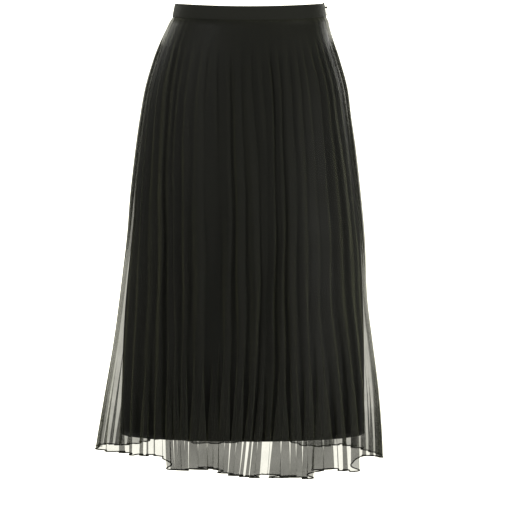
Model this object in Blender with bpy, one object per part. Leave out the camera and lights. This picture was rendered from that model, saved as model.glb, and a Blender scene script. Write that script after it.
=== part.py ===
"""A midi skirt of sheer cloth in sunray pleats, over an opaque slip lining, on a plain fitted waistband.

The origin is the middle of the waistband. +Z is up, +X is the skirt's own left and the front faces -Y.
Angles round the skirt are in degrees from the centre front, growing towards the skirt's own left.
Every piece is a closed wall: rings of points are worked out at several heights and given a thickness.
"""
import math
from collections import namedtuple

import bmesh
import bpy
from mathutils import Matrix

MM = 0.001

# Driving sizes
WALL = 1.2 * MM
SEAM_GAP = 0.3 * MM
LAYER_GAP = 0.5 * MM
BAND_HEIGHT = 23.0 * MM
BAND_THICKNESS = 2.4 * MM
FRONT_DIP = 15.0 * MM
BACK_RISE = 6.0 * MM
LINING_HEM = 700.0 * MM
SHARPEST_CORNER = 0.45

# The pleats: 28 to a panel, with a valley at each side seam
PLEATS = 28
STEPS_PER_PLEAT = 4
RIDGE_ROUNDNESS = 0.8
SHARE_AT_WAIST = 0.85
# A deep valley's corner makes the wall reach this much further in, from this depth on
CORNER_ROOM = 1.7 * MM
FULL_CORNER_AT = 8.0 * MM
MIDDLE_OF_DROP = 0.54

# Millimetres: how far below the waist seam, then how far the cloth reaches from the origin each way
Section = namedtuple("Section", "drop right left front back")
SKIRT_SECTIONS = [
    Section(0, 127.4, 127.4, 89.5, 95.5),
    Section(6, 131.8, 130.6, 93.0, 99.0),
    Section(20, 138.6, 133.6, 96.5, 104.0),
    Section(41, 148.4, 140.2, 101.0, 112.0),
    Section(66, 158.4, 148.6, 106.0, 120.0),
    Section(116, 173.2, 162.4, 114.0, 132.0),
    Section(166, 182.4, 169.0, 121.0, 140.0),
    Section(215, 189.6, 176.3, 127.0, 145.0),
    Section(290, 198.5, 184.6, 136.0, 151.0),
    Section(364, 204.5, 191.2, 145.0, 157.0),
    Section(464, 216.0, 195.0, 157.0, 165.0),
    Section(538, 226.0, 204.0, 166.0, 172.0),
    Section(613, 239.0, 213.5, 176.0, 181.0),
    Section(687, 252.0, 219.4, 186.0, 191.0),
    Section(745, 261.0, 221.5, 192.0, 197.0),
]
LINING_SECTIONS = [
    Section(0, 124.9, 124.9, 86.9, 92.9),
    Section(20, 133.4, 128.8, 91.5, 98.7),
    Section(41, 141.9, 134.2, 95.0, 105.5),
    Section(116, 165.2, 154.8, 106.0, 124.0),
    Section(215, 180.5, 167.6, 117.5, 135.5),
    Section(290, 188.5, 176.5, 125.0, 140.5),
    Section(364, 195.5, 183.5, 131.5, 144.5),
    Section(464, 205.5, 188.0, 139.0, 149.0),
    Section(538, 210.0, 190.0, 144.0, 152.0),
    Section(613, 212.0, 190.5, 147.5, 154.0),
    Section(700, 214.0, 191.0, 150.0, 156.0),
]
SKIRT_ROWS = [0, 6, 22, 55, 105, 175, 265, 365, 475, 600, 725.5]
LINING_ROWS = [0, 20, 50, 105, 175, 265, 365, 475, 590, 688.5]

# One row for each valley between two pleats on the front, from the right side seam to the left one.
# Degrees from centre front half way down and at the hem, the share of the way in to the lining that
# the valley reaches there, and how far below the origin the hem of the next pleat hangs, in mm.
# At the waist the valleys are evenly spaced.
Fold = namedtuple("Fold", "middle hem share_middle share_hem level")
FRONT_FOLDS = [
    Fold(-90.0, -90.0, 0.75, 0.55, 723.0),
    Fold(-80.5, -72.5, 0.70, 0.70, 722.0),
    Fold(-71.5, -58.5, 0.80, 0.80, 721.0),
    Fold(-62.6, -51.2, 0.60, 0.55, 723.5),
    Fold(-54.7, -44.8, 0.85, 0.75, 722.5),
    Fold(-47.9, -37.8, 0.75, 0.65, 721.5),
    Fold(-41.0, -30.2, 1.00, 1.00, 742.0),
    Fold(-36.7, -26.9, 0.60, 0.20, 742.0),
    Fold(-32.4, -24.2, 0.65, 0.20, 742.0),
    Fold(-26.8, -21.5, 0.80, 0.40, 740.0),
    Fold(-19.8, -14.7, 0.95, 1.00, 738.6),
    Fold(-12.8, -10.8, 0.80, 0.55, 745.0),
    Fold(-6.0, -7.4, 0.85, 0.50, 748.5),
    Fold(0.0, -3.7, 0.75, 0.60, 750.5),
    Fold(5.3, 0.2, 0.85, 0.75, 752.0),
    Fold(9.3, 4.1, 0.65, 0.65, 747.0),
    Fold(13.4, 8.4, 0.80, 0.80, 752.3),
    Fold(18.1, 16.9, 0.85, 0.85, 752.6),
    Fold(24.3, 21.9, 0.70, 0.45, 755.5),
    Fold(30.8, 26.9, 1.00, 1.00, 742.2),
    Fold(37.2, 37.6, 0.85, 0.80, 746.5),
    Fold(45.4, 47.0, 0.75, 0.90, 750.0),
    Fold(55.2, 55.0, 0.80, 0.85, 727.0),
    Fold(64.2, 61.5, 0.75, 0.70, 729.0),
    Fold(70.4, 67.6, 0.70, 0.75, 731.0),
    Fold(75.7, 73.4, 0.80, 0.70, 734.0),
    Fold(80.7, 78.9, 0.70, 0.75, 737.0),
    Fold(85.5, 84.5, 0.75, 0.65, 738.6),
    Fold(90.0, 90.0, 0.75, 0.60, 738.6),
]
BACK_HEM_RIGHT = 722.0
BACK_HEM_LEFT = 737.0
BACK_HEM_WAVE = 6.0
BACK_DRIFT_MIDDLE = 1.3
BACK_DRIFT_HEM = 2.1

# Waistband: how far its surface stands out from the band's own line, and height from its middle, in mm
BAND_PROFILE = [
    (-2.4, -11.5), (0.0, -11.5), (0.4, -7.0), (0.4, 6.5),
    (0.0, 10.3), (-0.7, 11.5), (-1.7, 11.5), (-2.4, 10.3),
]
BAND_FLARE = 0.17
BAND_STEPS = 24
CLOSURE_GAP = 1.4 * MM
CLOSURE_STEP = 2.0 * MM
CLOSURE_STEP_ANGLE = 9.0
LINING_STEPS = 24

# Zip
ZIP_LINING_ROWS = 5
ZIP_TOP = 9.3 * MM
NOTCH_BOTTOM = -0.4 * MM
TAPE_GAP = 0.5 * MM
TAPE_HALF = 11.0 * MM
TAPE_THICKNESS = 0.8 * MM
COIL_HALF = 2.0 * MM
COIL_RISE = 1.3 * MM
NOTCH_HALF = 3.4 * MM
SLIDER_BOTTOM = 0.6 * MM
SLIDER_TOP = 8.2 * MM
SLIDER_HALF = 2.9 * MM
SLIDER_DEPTH = 2.6 * MM
NECK_HALF = 0.4 * MM
HEAD_HALF = 1.9 * MM
HEAD_RISE = 1.3 * MM
HEAD_DEPTH = 0.4 * MM
LUG_THICKNESS = 0.7 * MM
PIN_RADIUS = 0.4 * MM
PIN_HEIGHT = 5.2 * MM
PIN_STAND_OFF = 1.8 * MM
LUG_PAST_PIN = 0.7 * MM
JOINED = 0.2 * MM
EYE_INNER = 0.7 * MM
EYE_OUTER = 1.1 * MM
EYE_HALF = 0.8 * MM
PULL_THICKNESS = 0.9 * MM
PULL_LEAN = 1.5
# The tab's outline from the eye down: half-width and height under the pin, in mm
PULL_OUTLINE = [(0.8, -0.85), (0.8, -2.6), (2.0, -4.0), (2.0, -12.3), (1.2, -13.5)]

# Colours, as linear values, and roughness
CHIFFON = ("sheer black chiffon", (0.012, 0.012, 0.011), 0.75, 0.0)
LINING = ("black lining satin", (0.010, 0.010, 0.010), 0.55, 0.0)
BAND_CLOTH = ("black band cloth", (0.017, 0.017, 0.016), 0.80, 0.0)
TAPE = ("black zip tape", (0.015, 0.015, 0.015), 0.80, 0.0)
ZIP_METAL = ("dark zip metal", (0.050, 0.050, 0.048), 0.35, 0.9)


def start_empty():
    for thing in list(bpy.data.objects):
        bpy.data.objects.remove(thing, do_unlink=True)


def material(finish):
    """The material of a finish, made once."""
    name, colour, roughness, metallic = finish
    found = bpy.data.materials.get(name)
    if found:
        return found
    made = bpy.data.materials.new(name)
    made.use_nodes = True
    shader = made.node_tree.nodes["Principled BSDF"]
    shader.inputs["Base Color"].default_value = (*colour, 1.0)
    shader.inputs["Roughness"].default_value = roughness
    shader.inputs["Metallic"].default_value = metallic
    return made


def add_object(name, mesh_builder, finish):
    """Turn finished bmesh data into a named object with its own material."""
    bmesh.ops.recalc_face_normals(mesh_builder, faces=mesh_builder.faces)
    mesh = bpy.data.meshes.new(name)
    mesh_builder.to_mesh(mesh)
    mesh_builder.free()
    mesh.materials.append(material(finish))
    mesh.shade_smooth()
    mesh.set_sharp_from_angle(angle=math.radians(40))
    made = bpy.data.objects.new(name, mesh)
    bpy.context.collection.objects.link(made)
    return made


def smooth_value(rows, drop, column):
    """A column of a section table at any drop, on a smooth curve through its rows. Metres in and out."""
    drops = [row.drop * MM for row in rows]
    values = [getattr(row, column) * MM for row in rows]
    last = len(rows) - 1
    drop = min(max(drop, drops[0]), drops[last])
    i = max(k for k in range(last) if drops[k] <= drop)

    def slope(k):
        low, high = max(k - 1, 0), min(k + 1, last)
        return (values[high] - values[low]) / (drops[high] - drops[low])

    span = drops[i + 1] - drops[i]
    t = (drop - drops[i]) / span
    return ((2 * t**3 - 3 * t**2 + 1) * values[i] + (t**3 - 2 * t**2 + t) * span * slope(i)
            + (3 * t**2 - 2 * t**3) * values[i + 1] + (t**3 - t**2) * span * slope(i + 1))


def reach(rows, angle, drop):
    """The two half-widths of the ring at a drop, for the quarter that the angle lies in."""
    side = "left" if math.sin(angle) >= 0 else "right"
    face = "front" if math.cos(angle) >= 0 else "back"
    return smooth_value(rows, drop, side), smooth_value(rows, drop, face)


def ring_point(rows, angle, drop):
    wide, deep = reach(rows, angle, drop)
    return wide * math.sin(angle), -deep * math.cos(angle)


def ring_normal(rows, angle, drop):
    wide, deep = reach(rows, angle, drop)
    x, y = math.sin(angle) / wide, -math.cos(angle) / deep
    length = math.hypot(x, y)
    return x / length, y / length


def waist_dip(angle):
    """How far the waistline lies below the origin: low at the front, a little raised at the back."""
    c = math.cos(angle)
    return (FRONT_DIP + BACK_RISE) / 2 * c + (FRONT_DIP - BACK_RISE) / 2 * c * c


def back_folds():
    """The back's valleys, from the left side seam round to the right one, uneven in the same measure."""
    rows = []
    for i in range(PLEATS + 1):
        t = i / PLEATS
        calm = math.sin(math.pi * t)
        even = 90.0 + 180.0 * t
        drift = math.sin(1.9 * i + 0.7) + 0.6 * math.sin(0.75 * i + 2.0)
        share = 0.74 + 0.12 * math.sin(2.7 * i) + 0.12 * math.sin(1.3 * i + 1.0)
        wave = BACK_HEM_WAVE * calm * math.sin(0.9 * i)
        level = BACK_HEM_LEFT + (BACK_HEM_RIGHT - BACK_HEM_LEFT) * t + wave
        rows.append(Fold(even + BACK_DRIFT_MIDDLE * calm * drift, even + BACK_DRIFT_HEM * calm * drift,
                         share, share - 0.06, level))
    return rows


def level_near(folds, i, t):
    """The hem's height between valley i and the next, in metres below the origin, without steps."""
    last = len(folds) - 2
    own = folds[min(i, last)].level
    before = folds[max(i - 1, 0)].level
    after = folds[min(i + 1, last)].level
    if t < 0.5:
        other, away = before, t
    else:
        other, away = after, 1.0 - t
    blend = 0.5 * (1.0 - math.sin(math.pi * away))
    return (own + (other - own) * blend) * MM


def valley_angle(folds, first_angle, i, along):
    """The angle of valley i a share of the way down, on a curve through waist, middle and hem."""
    waist = first_angle + math.pi * i / PLEATS
    middle, hem = math.radians(folds[i].middle), math.radians(folds[i].hem)
    m = MIDDLE_OF_DROP
    return (waist * (along - m) * (along - 1) / m
            + middle * along * (along - 1) / (m * (m - 1))
            + hem * along * (along - m) / (1 - m))


def valley_share(fold, along):
    """The share of the room that a valley takes up, a share of the way down."""
    if along < MIDDLE_OF_DROP:
        t = along / MIDDLE_OF_DROP
        return SHARE_AT_WAIST + (fold.share_middle - SHARE_AT_WAIST) * t
    t = (along - MIDDLE_OF_DROP) / (1 - MIDDLE_OF_DROP)
    return fold.share_middle + (fold.share_hem - fold.share_middle) * t


def pleat_room(angle, drop):
    """How far a valley may go in here before it comes too near to the lining."""
    outer = ring_point(SKIRT_SECTIONS, angle, drop)
    inner = ring_point(LINING_SECTIONS, angle, drop)
    normal = ring_normal(SKIRT_SECTIONS, angle, drop)
    between = (outer[0] - inner[0]) * normal[0] + (outer[1] - inner[1]) * normal[1]
    room = max(between - WALL - LAYER_GAP, 0.0)
    return room - CORNER_ROOM * min(room / FULL_CORNER_AT, 1.0)


def pleat_ring(folds, first_angle, row_drop):
    """The points of one row round a pleated panel, from seam to seam: sharp valleys and round ridges."""
    along = row_drop / SKIRT_ROWS[-1]
    points = []
    for i in range(PLEATS):
        for step in range(STEPS_PER_PLEAT + (i == PLEATS - 1)):
            t = step / STEPS_PER_PLEAT
            angle = ((1 - t) * valley_angle(folds, first_angle, i, along)
                     + t * valley_angle(folds, first_angle, i + 1, along))
            hem = level_near(folds, i, t)
            top = BAND_HEIGHT / 2 + SEAM_GAP + waist_dip(angle)
            height = -(top + (hem - top) * along)
            drop = along * (hem - BAND_HEIGHT / 2)
            share = (1 - t) * valley_share(folds[i], along) + t * valley_share(folds[i + 1], along)
            inward = (1.0 - math.sin(math.pi * t)) ** RIDGE_ROUNDNESS * share * pleat_room(angle, drop)
            x, y = ring_point(SKIRT_SECTIONS, angle, drop)
            normal = ring_normal(SKIRT_SECTIONS, angle, drop)
            points.append((x - normal[0] * inward, y - normal[1] * inward, height))
    return points


def lining_ring(first_angle, row_drop):
    """The points of one row round half of the lining, whose hem is level."""
    along = row_drop / LINING_ROWS[-1]
    points = []
    for step in range(LINING_STEPS + 1):
        angle = first_angle + math.pi * step / LINING_STEPS
        top = BAND_HEIGHT / 2 + SEAM_GAP + waist_dip(angle)
        height = -(top + (LINING_HEM - top) * along)
        x, y = ring_point(LINING_SECTIONS, angle, row_drop * MM)
        points.append((x, y, height))
    return points


def moved_in(points, distance):
    """A row of points moved in by a distance square to the row, with true corners."""
    moved = []
    last = len(points) - 1
    for i, (x, y, z) in enumerate(points):
        before, after = points[max(i - 1, 0)], points[min(i + 1, last)]
        normals = []
        for a, b in ((before, (x, y)), ((x, y), after)):
            dx, dy = b[0] - a[0], b[1] - a[1]
            length = math.hypot(dx, dy)
            if length > 1e-9:
                normals.append((-dy / length, dx / length))
        if len(normals) == 1:
            # A seam's end goes straight in along the ring's own normal, so that two panels meet flush
            nx, ny = (-1.0 if x > 0 else 1.0), 0.0
            cosine = nx * normals[0][0] + ny * normals[0][1]
        else:
            nx, ny = normals[0][0] + normals[1][0], normals[0][1] + normals[1][1]
            length = math.hypot(nx, ny)
            nx, ny = nx / length, ny / length
            cosine = nx * normals[0][0] + ny * normals[0][1]
        reach_in = distance / max(cosine, SHARPEST_CORNER)
        moved.append((x + nx * reach_in, y + ny * reach_in, z))
    return moved


def set_back_ends(points, gaps):
    """Move the two end points of a row clear of the seams at the sides."""
    for end, gap in ((0, gaps[0]), (-1, gaps[1])):
        x, y, z = points[end]
        away = -1.0 if points[len(points) // 2][1] < 0 else 1.0
        points[end] = (x, away * gap, z)
    return points


def wall_from_rows(name, outer_rows, inner_rows, finish, keep=None):
    """A closed wall between two matching grids of points. keep(row, column) leaves cells out."""
    builder = bmesh.new()
    outer = [[builder.verts.new(p) for p in row] for row in outer_rows]
    inner = [[builder.verts.new(p) for p in row] for row in inner_rows]
    rows, columns = len(outer) - 1, len(outer[0]) - 1

    def kept(r, c):
        inside = 0 <= r < rows and 0 <= c < columns
        return inside and (keep is None or keep(r, c))

    for r in range(rows):
        for c in range(columns):
            if not kept(r, c):
                continue
            for grid in (outer, inner):
                builder.faces.new((grid[r][c], grid[r][c + 1], grid[r + 1][c + 1], grid[r + 1][c]))
            edges = (((r, c), (r, c + 1), (r - 1, c)), ((r + 1, c), (r + 1, c + 1), (r + 1, c)),
                     ((r, c), (r + 1, c), (r, c - 1)), ((r, c + 1), (r + 1, c + 1), (r, c + 1)))
            for (r1, c1), (r2, c2), neighbour in edges:
                if not kept(*neighbour):
                    builder.faces.new((outer[r1][c1], outer[r2][c2], inner[r2][c2], inner[r1][c1]))
    loose = [v for v in builder.verts if not v.link_faces]
    bmesh.ops.delete(builder, geom=loose, context="VERTS")
    return add_object(name, builder, finish)


def closed_loft(name, rings, finish):
    """A closed solid through matching closed rings, with flat ends."""
    builder = bmesh.new()
    loops = [[builder.verts.new(p) for p in ring] for ring in rings]
    count = len(loops[0])
    for a, b in zip(loops, loops[1:]):
        for i in range(count):
            j = (i + 1) % count
            builder.faces.new((a[i], a[j], b[j], b[i]))
    builder.faces.new(loops[0])
    builder.faces.new(loops[-1])
    return add_object(name, builder, finish)


def box(builder, low, high):
    """A closed box between two corners."""
    corners = [builder.verts.new((x, y, z)) for x in (low[0], high[0]) for y in (low[1], high[1])
               for z in (low[2], high[2])]
    for face in ((0, 1, 3, 2), (4, 6, 7, 5), (0, 4, 5, 1), (2, 3, 7, 6), (0, 2, 6, 4), (1, 5, 7, 3)):
        builder.faces.new([corners[i] for i in face])


def waistband_half(name, first_angle):
    """Half of the band: its profile swept from seam to seam, with the closure's gap on the left."""
    front = first_angle < 0
    rings = []
    for step in range(BAND_STEPS + 1):
        angle = first_angle + math.pi * step / BAND_STEPS
        wide, deep = reach(SKIRT_SECTIONS, angle, 0.0)
        left_end = step == (BAND_STEPS if front else 0)
        right_end = step == (0 if front else BAND_STEPS)
        gap = CLOSURE_GAP / 2 if left_end else SEAM_GAP / 2
        from_closure = math.degrees(angle) - 90.0
        step_up = 0.0
        if not front and from_closure < CLOSURE_STEP_ANGLE:
            step_up = CLOSURE_STEP * math.cos(math.radians(90.0 * from_closure / CLOSURE_STEP_ANGLE)) ** 2
        ring = []
        for out, height in BAND_PROFILE:
            out, height = out * MM, height * MM
            stand = out - BAND_FLARE * (height + BAND_HEIGHT / 2)
            x, y = (wide + stand) * math.sin(angle), -(deep + stand) * math.cos(angle)
            if left_end or right_end:
                y = -gap if front else gap
            lift = step_up if height > 0 else 0.0
            ring.append((x, y, height + lift - waist_dip(angle)))
        rings.append(ring)
    return closed_loft(name, rings, BAND_CLOTH)


def pleated_panel(name, folds, first_angle):
    outer, inner = [], []
    for drop in SKIRT_ROWS:
        row = pleat_ring(folds, first_angle, drop)
        outer.append(set_back_ends(list(row), (SEAM_GAP / 2, SEAM_GAP / 2)))
        inner.append(set_back_ends(moved_in(row, WALL), (SEAM_GAP / 2, SEAM_GAP / 2)))
    return wall_from_rows(name, outer, inner, CHIFFON)


def lining_panel(name, first_angle):
    outer, inner = [], []
    for drop in LINING_ROWS:
        row = lining_ring(first_angle, drop)
        outer.append(set_back_ends(list(row), (SEAM_GAP / 2, SEAM_GAP / 2)))
        inner.append(set_back_ends(moved_in(row, WALL), (SEAM_GAP / 2, SEAM_GAP / 2)))
    return wall_from_rows(name, outer, inner, LINING)


def band_inside(angle, height):
    """A point on the band's inner face, at a height above its middle line."""
    wide, deep = reach(SKIRT_SECTIONS, angle, 0.0)
    stand = -BAND_THICKNESS - BAND_FLARE * (height + BAND_HEIGHT / 2)
    return (wide + stand) * math.sin(angle), -(deep + stand) * math.cos(angle), height - waist_dip(angle)


def tape_points(seam, front_next, back_next, across, inward):
    """Points across the tape, on the straight lines from the seam to the panels' next points."""
    points = []
    for y in across:
        toward = front_next if y < 0 else back_next
        t = abs(y) / abs(toward[1])
        x = seam[0] + (toward[0] - seam[0]) * t
        z = seam[2] + (toward[2] - seam[2]) * t
        coil = COIL_RISE if abs(y) <= COIL_HALF and inward > TAPE_GAP else 0.0
        points.append((x - inward - coil, y, z))
    return points


def side_zip():
    """The zip's tapes and closed coil, on the inside of the left seam, with room for the slider."""
    across = [-TAPE_HALF, -NOTCH_HALF, -COIL_HALF * 1.2, -COIL_HALF, COIL_HALF, COIL_HALF * 1.2,
              NOTCH_HALF, TAPE_HALF]
    left = math.pi / 2
    step = math.pi / BAND_STEPS
    lines = [(band_inside(left, height), band_inside(left - step, height), band_inside(left + step, height))
             for height in (ZIP_TOP, NOTCH_BOTTOM, -6 * MM)]
    for drop in LINING_ROWS[:ZIP_LINING_ROWS]:
        front = moved_in(lining_ring(-left, drop), WALL)
        back = moved_in(lining_ring(left, drop), WALL)
        lines.append((back[0], front[-2], back[1]))
    outer = [tape_points(*line, across, TAPE_GAP) for line in lines]
    inner = [tape_points(*line, across, TAPE_GAP + TAPE_THICKNESS) for line in lines]
    middle = range(1, len(across) - 2)
    return wall_from_rows("side_zip", outer, inner, TAPE, keep=lambda r, c: not (r == 0 and c in middle))


def band_outside(height):
    """How far out the band's outer face lies at the left seam."""
    return (smooth_value(SKIRT_SECTIONS, 0.0, "left") + 0.4 * MM
            - BAND_FLARE * (height + BAND_HEIGHT / 2))


def pin_place():
    """Where the middle of the pull's pin lies: the joint's point."""
    return band_outside(SLIDER_BOTTOM) + SEAM_GAP + PIN_STAND_OFF, 0.0, PIN_HEIGHT


def zip_slider():
    """The slider: a body inside the band, a neck through the closure, and lugs that carry the pin."""
    outside = band_outside(SLIDER_BOTTOM) + SEAM_GAP
    inside = band_inside(math.pi / 2, SLIDER_TOP)[0] - TAPE_GAP
    low, high = PIN_HEIGHT - HEAD_RISE, PIN_HEIGHT + HEAD_RISE
    lug_end = pin_place()[0] + LUG_PAST_PIN
    body = bmesh.new()
    box(body, (inside - SLIDER_DEPTH, -SLIDER_HALF, SLIDER_BOTTOM), (inside, SLIDER_HALF, SLIDER_TOP))
    slider = add_object("zip_slider", body, ZIP_METAL)
    blocks = [
        ((inside - JOINED, -NECK_HALF, low), (outside + JOINED, NECK_HALF, high)),
        ((outside, -HEAD_HALF, low), (outside + HEAD_DEPTH, HEAD_HALF, high)),
        ((outside + JOINED, -HEAD_HALF, low), (lug_end, LUG_THICKNESS - HEAD_HALF, high)),
        ((outside + JOINED, HEAD_HALF - LUG_THICKNESS, low), (lug_end, HEAD_HALF, high)),
    ]
    for number, (near, far) in enumerate(blocks):
        block = bmesh.new()
        box(block, near, far)
        join_to(slider, add_object(f"slider_block_{number}", block, ZIP_METAL))
    join_to(slider, pin())
    return slider


def join_to(whole, piece):
    """Make a piece part of another solid, and leave it out as a thing of its own."""
    join = whole.modifiers.new(piece.name, "BOOLEAN")
    join.operation = "UNION"
    join.object = piece
    piece.hide_render = True
    piece.display_type = "WIRE"


def pin():
    """The pin that the pull turns on, across the two lugs."""
    part = bmesh.new()
    bmesh.ops.create_cone(part, cap_ends=True, segments=12, radius1=PIN_RADIUS, radius2=PIN_RADIUS,
                          depth=2 * (HEAD_HALF - JOINED))
    bmesh.ops.rotate(part, verts=part.verts, matrix=Matrix.Rotation(math.pi / 2, 3, "X"))
    bmesh.ops.translate(part, verts=part.verts, vec=pin_place())
    return add_object("slider_pin", part, ZIP_METAL)


def zip_pull():
    """The pull tab: an eye round the pin, and a flat tab that hangs from it along the band."""
    eye = bmesh.new()
    segments = 16
    rings = []
    for radius, y in ((EYE_INNER, -EYE_HALF), (EYE_OUTER, -EYE_HALF), (EYE_OUTER, EYE_HALF),
                      (EYE_INNER, EYE_HALF)):
        rings.append([eye.verts.new((radius * math.sin(2 * math.pi * i / segments), y,
                                     radius * math.cos(2 * math.pi * i / segments)))
                      for i in range(segments)])
    for a, b in zip(rings, rings[1:] + rings[:1]):
        for i in range(segments):
            j = (i + 1) % segments
            eye.faces.new((a[i], a[j], b[j], b[i]))
    pull = add_object("zip_pull", eye, ZIP_METAL)
    outline = [(y * MM, z * MM) for y, z in PULL_OUTLINE]
    outline += [(-y, z) for y, z in reversed(outline)]
    tab = bmesh.new()
    sides = [[tab.verts.new((x, y, z)) for y, z in outline]
             for x in (-PULL_THICKNESS / 2, PULL_THICKNESS / 2)]
    for i in range(len(outline)):
        j = (i + 1) % len(outline)
        tab.faces.new((sides[0][i], sides[0][j], sides[1][j], sides[1][i]))
    for side in sides:
        tab.faces.new(side)
    plate = add_object("pull_plate", tab, ZIP_METAL)
    join_to(pull, plate)
    for piece in (pull, plate):
        piece.location = pin_place()
        piece.rotation_euler = (0.0, math.radians(-PULL_LEAN), 0.0)
    return pull


def build():
    start_empty()
    right_seam, left_seam = -math.pi / 2, math.pi / 2
    waistband_half("waistband_front", right_seam)
    waistband_half("waistband_back", left_seam)
    pleated_panel("skirt_front", FRONT_FOLDS, right_seam)
    pleated_panel("skirt_back", back_folds(), left_seam)
    lining_panel("lining_front", right_seam)
    lining_panel("lining_back", left_seam)
    side_zip()
    zip_slider()
    zip_pull()


build()
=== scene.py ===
"""Dresses the pleated skirt: sheer chiffon in sunray pleats over a satin slip, a waistband and a side zip.

The frame's origin is the middle of the waistband, +Z is up, +X is the skirt's own left, the front faces -Y.
Angles round the skirt start at the centre front and grow towards the skirt's own left: the tables give them
in degrees and the functions take them in radians. "along" is the share of the way from the band to the hem.
The cloth is drawn from the same sections and pleats as the solids, more finely and with its natural folds.
"""
import math
from bisect import bisect_right
from collections import namedtuple

import bmesh
import bpy
from mathutils import Matrix, Vector


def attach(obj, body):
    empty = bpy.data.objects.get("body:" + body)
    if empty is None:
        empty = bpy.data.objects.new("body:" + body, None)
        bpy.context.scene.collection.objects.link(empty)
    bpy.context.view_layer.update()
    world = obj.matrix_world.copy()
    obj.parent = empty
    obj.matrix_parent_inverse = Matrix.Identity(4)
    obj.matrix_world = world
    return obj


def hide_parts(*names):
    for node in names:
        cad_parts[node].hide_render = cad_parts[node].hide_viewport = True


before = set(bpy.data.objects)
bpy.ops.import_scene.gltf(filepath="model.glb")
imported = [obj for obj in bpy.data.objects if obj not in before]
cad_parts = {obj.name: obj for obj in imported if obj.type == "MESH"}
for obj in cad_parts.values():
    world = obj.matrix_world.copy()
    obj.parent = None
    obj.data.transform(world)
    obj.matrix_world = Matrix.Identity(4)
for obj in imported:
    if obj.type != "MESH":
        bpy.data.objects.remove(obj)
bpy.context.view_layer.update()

MM = 0.001
SKIRT_BODY = "skirt"
PULL_BODY = "pull"

# Sizes shared with the solids
SEAM_GAP = 0.3 * MM
BAND_HEIGHT = 23.0 * MM
BAND_THICKNESS = 2.4 * MM
BAND_FLARE = 0.17
FRONT_DIP = 15.0 * MM
BACK_RISE = 6.0 * MM
LINING_HEM = 700.0 * MM
LINING_DROP = 688.5 * MM
PLEATS = 28
MIDDLE_OF_DROP = 0.54

# Millimetres: how far below the waist seam, then how far the cloth reaches from the origin each way
Section = namedtuple("Section", "drop right left front back")
SKIRT_SECTIONS = [
    Section(0, 127.4, 127.4, 89.5, 95.5),
    Section(6, 131.8, 130.6, 93.0, 99.0),
    Section(20, 138.6, 133.6, 96.5, 104.0),
    Section(41, 148.4, 140.2, 101.0, 112.0),
    Section(66, 158.4, 148.6, 106.0, 120.0),
    Section(116, 173.2, 162.4, 114.0, 132.0),
    Section(166, 182.4, 169.0, 121.0, 140.0),
    Section(215, 189.6, 176.3, 127.0, 145.0),
    Section(290, 198.5, 184.6, 136.0, 151.0),
    Section(364, 204.5, 191.2, 145.0, 157.0),
    Section(464, 216.0, 195.0, 157.0, 165.0),
    Section(538, 226.0, 204.0, 166.0, 172.0),
    Section(613, 239.0, 213.5, 176.0, 181.0),
    Section(687, 252.0, 219.4, 186.0, 191.0),
    Section(745, 261.0, 221.5, 192.0, 197.0),
]
LINING_SECTIONS = [
    Section(0, 124.9, 124.9, 86.9, 92.9),
    Section(20, 133.4, 128.8, 91.5, 98.7),
    Section(41, 141.9, 134.2, 95.0, 105.5),
    Section(116, 165.2, 154.8, 106.0, 124.0),
    Section(215, 180.5, 167.6, 117.5, 135.5),
    Section(290, 188.5, 176.5, 125.0, 140.5),
    Section(364, 195.5, 183.5, 131.5, 144.5),
    Section(464, 205.5, 188.0, 139.0, 149.0),
    Section(538, 210.0, 190.0, 144.0, 152.0),
    Section(613, 212.0, 190.5, 147.5, 154.0),
    Section(700, 214.0, 191.0, 150.0, 156.0),
]

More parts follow.
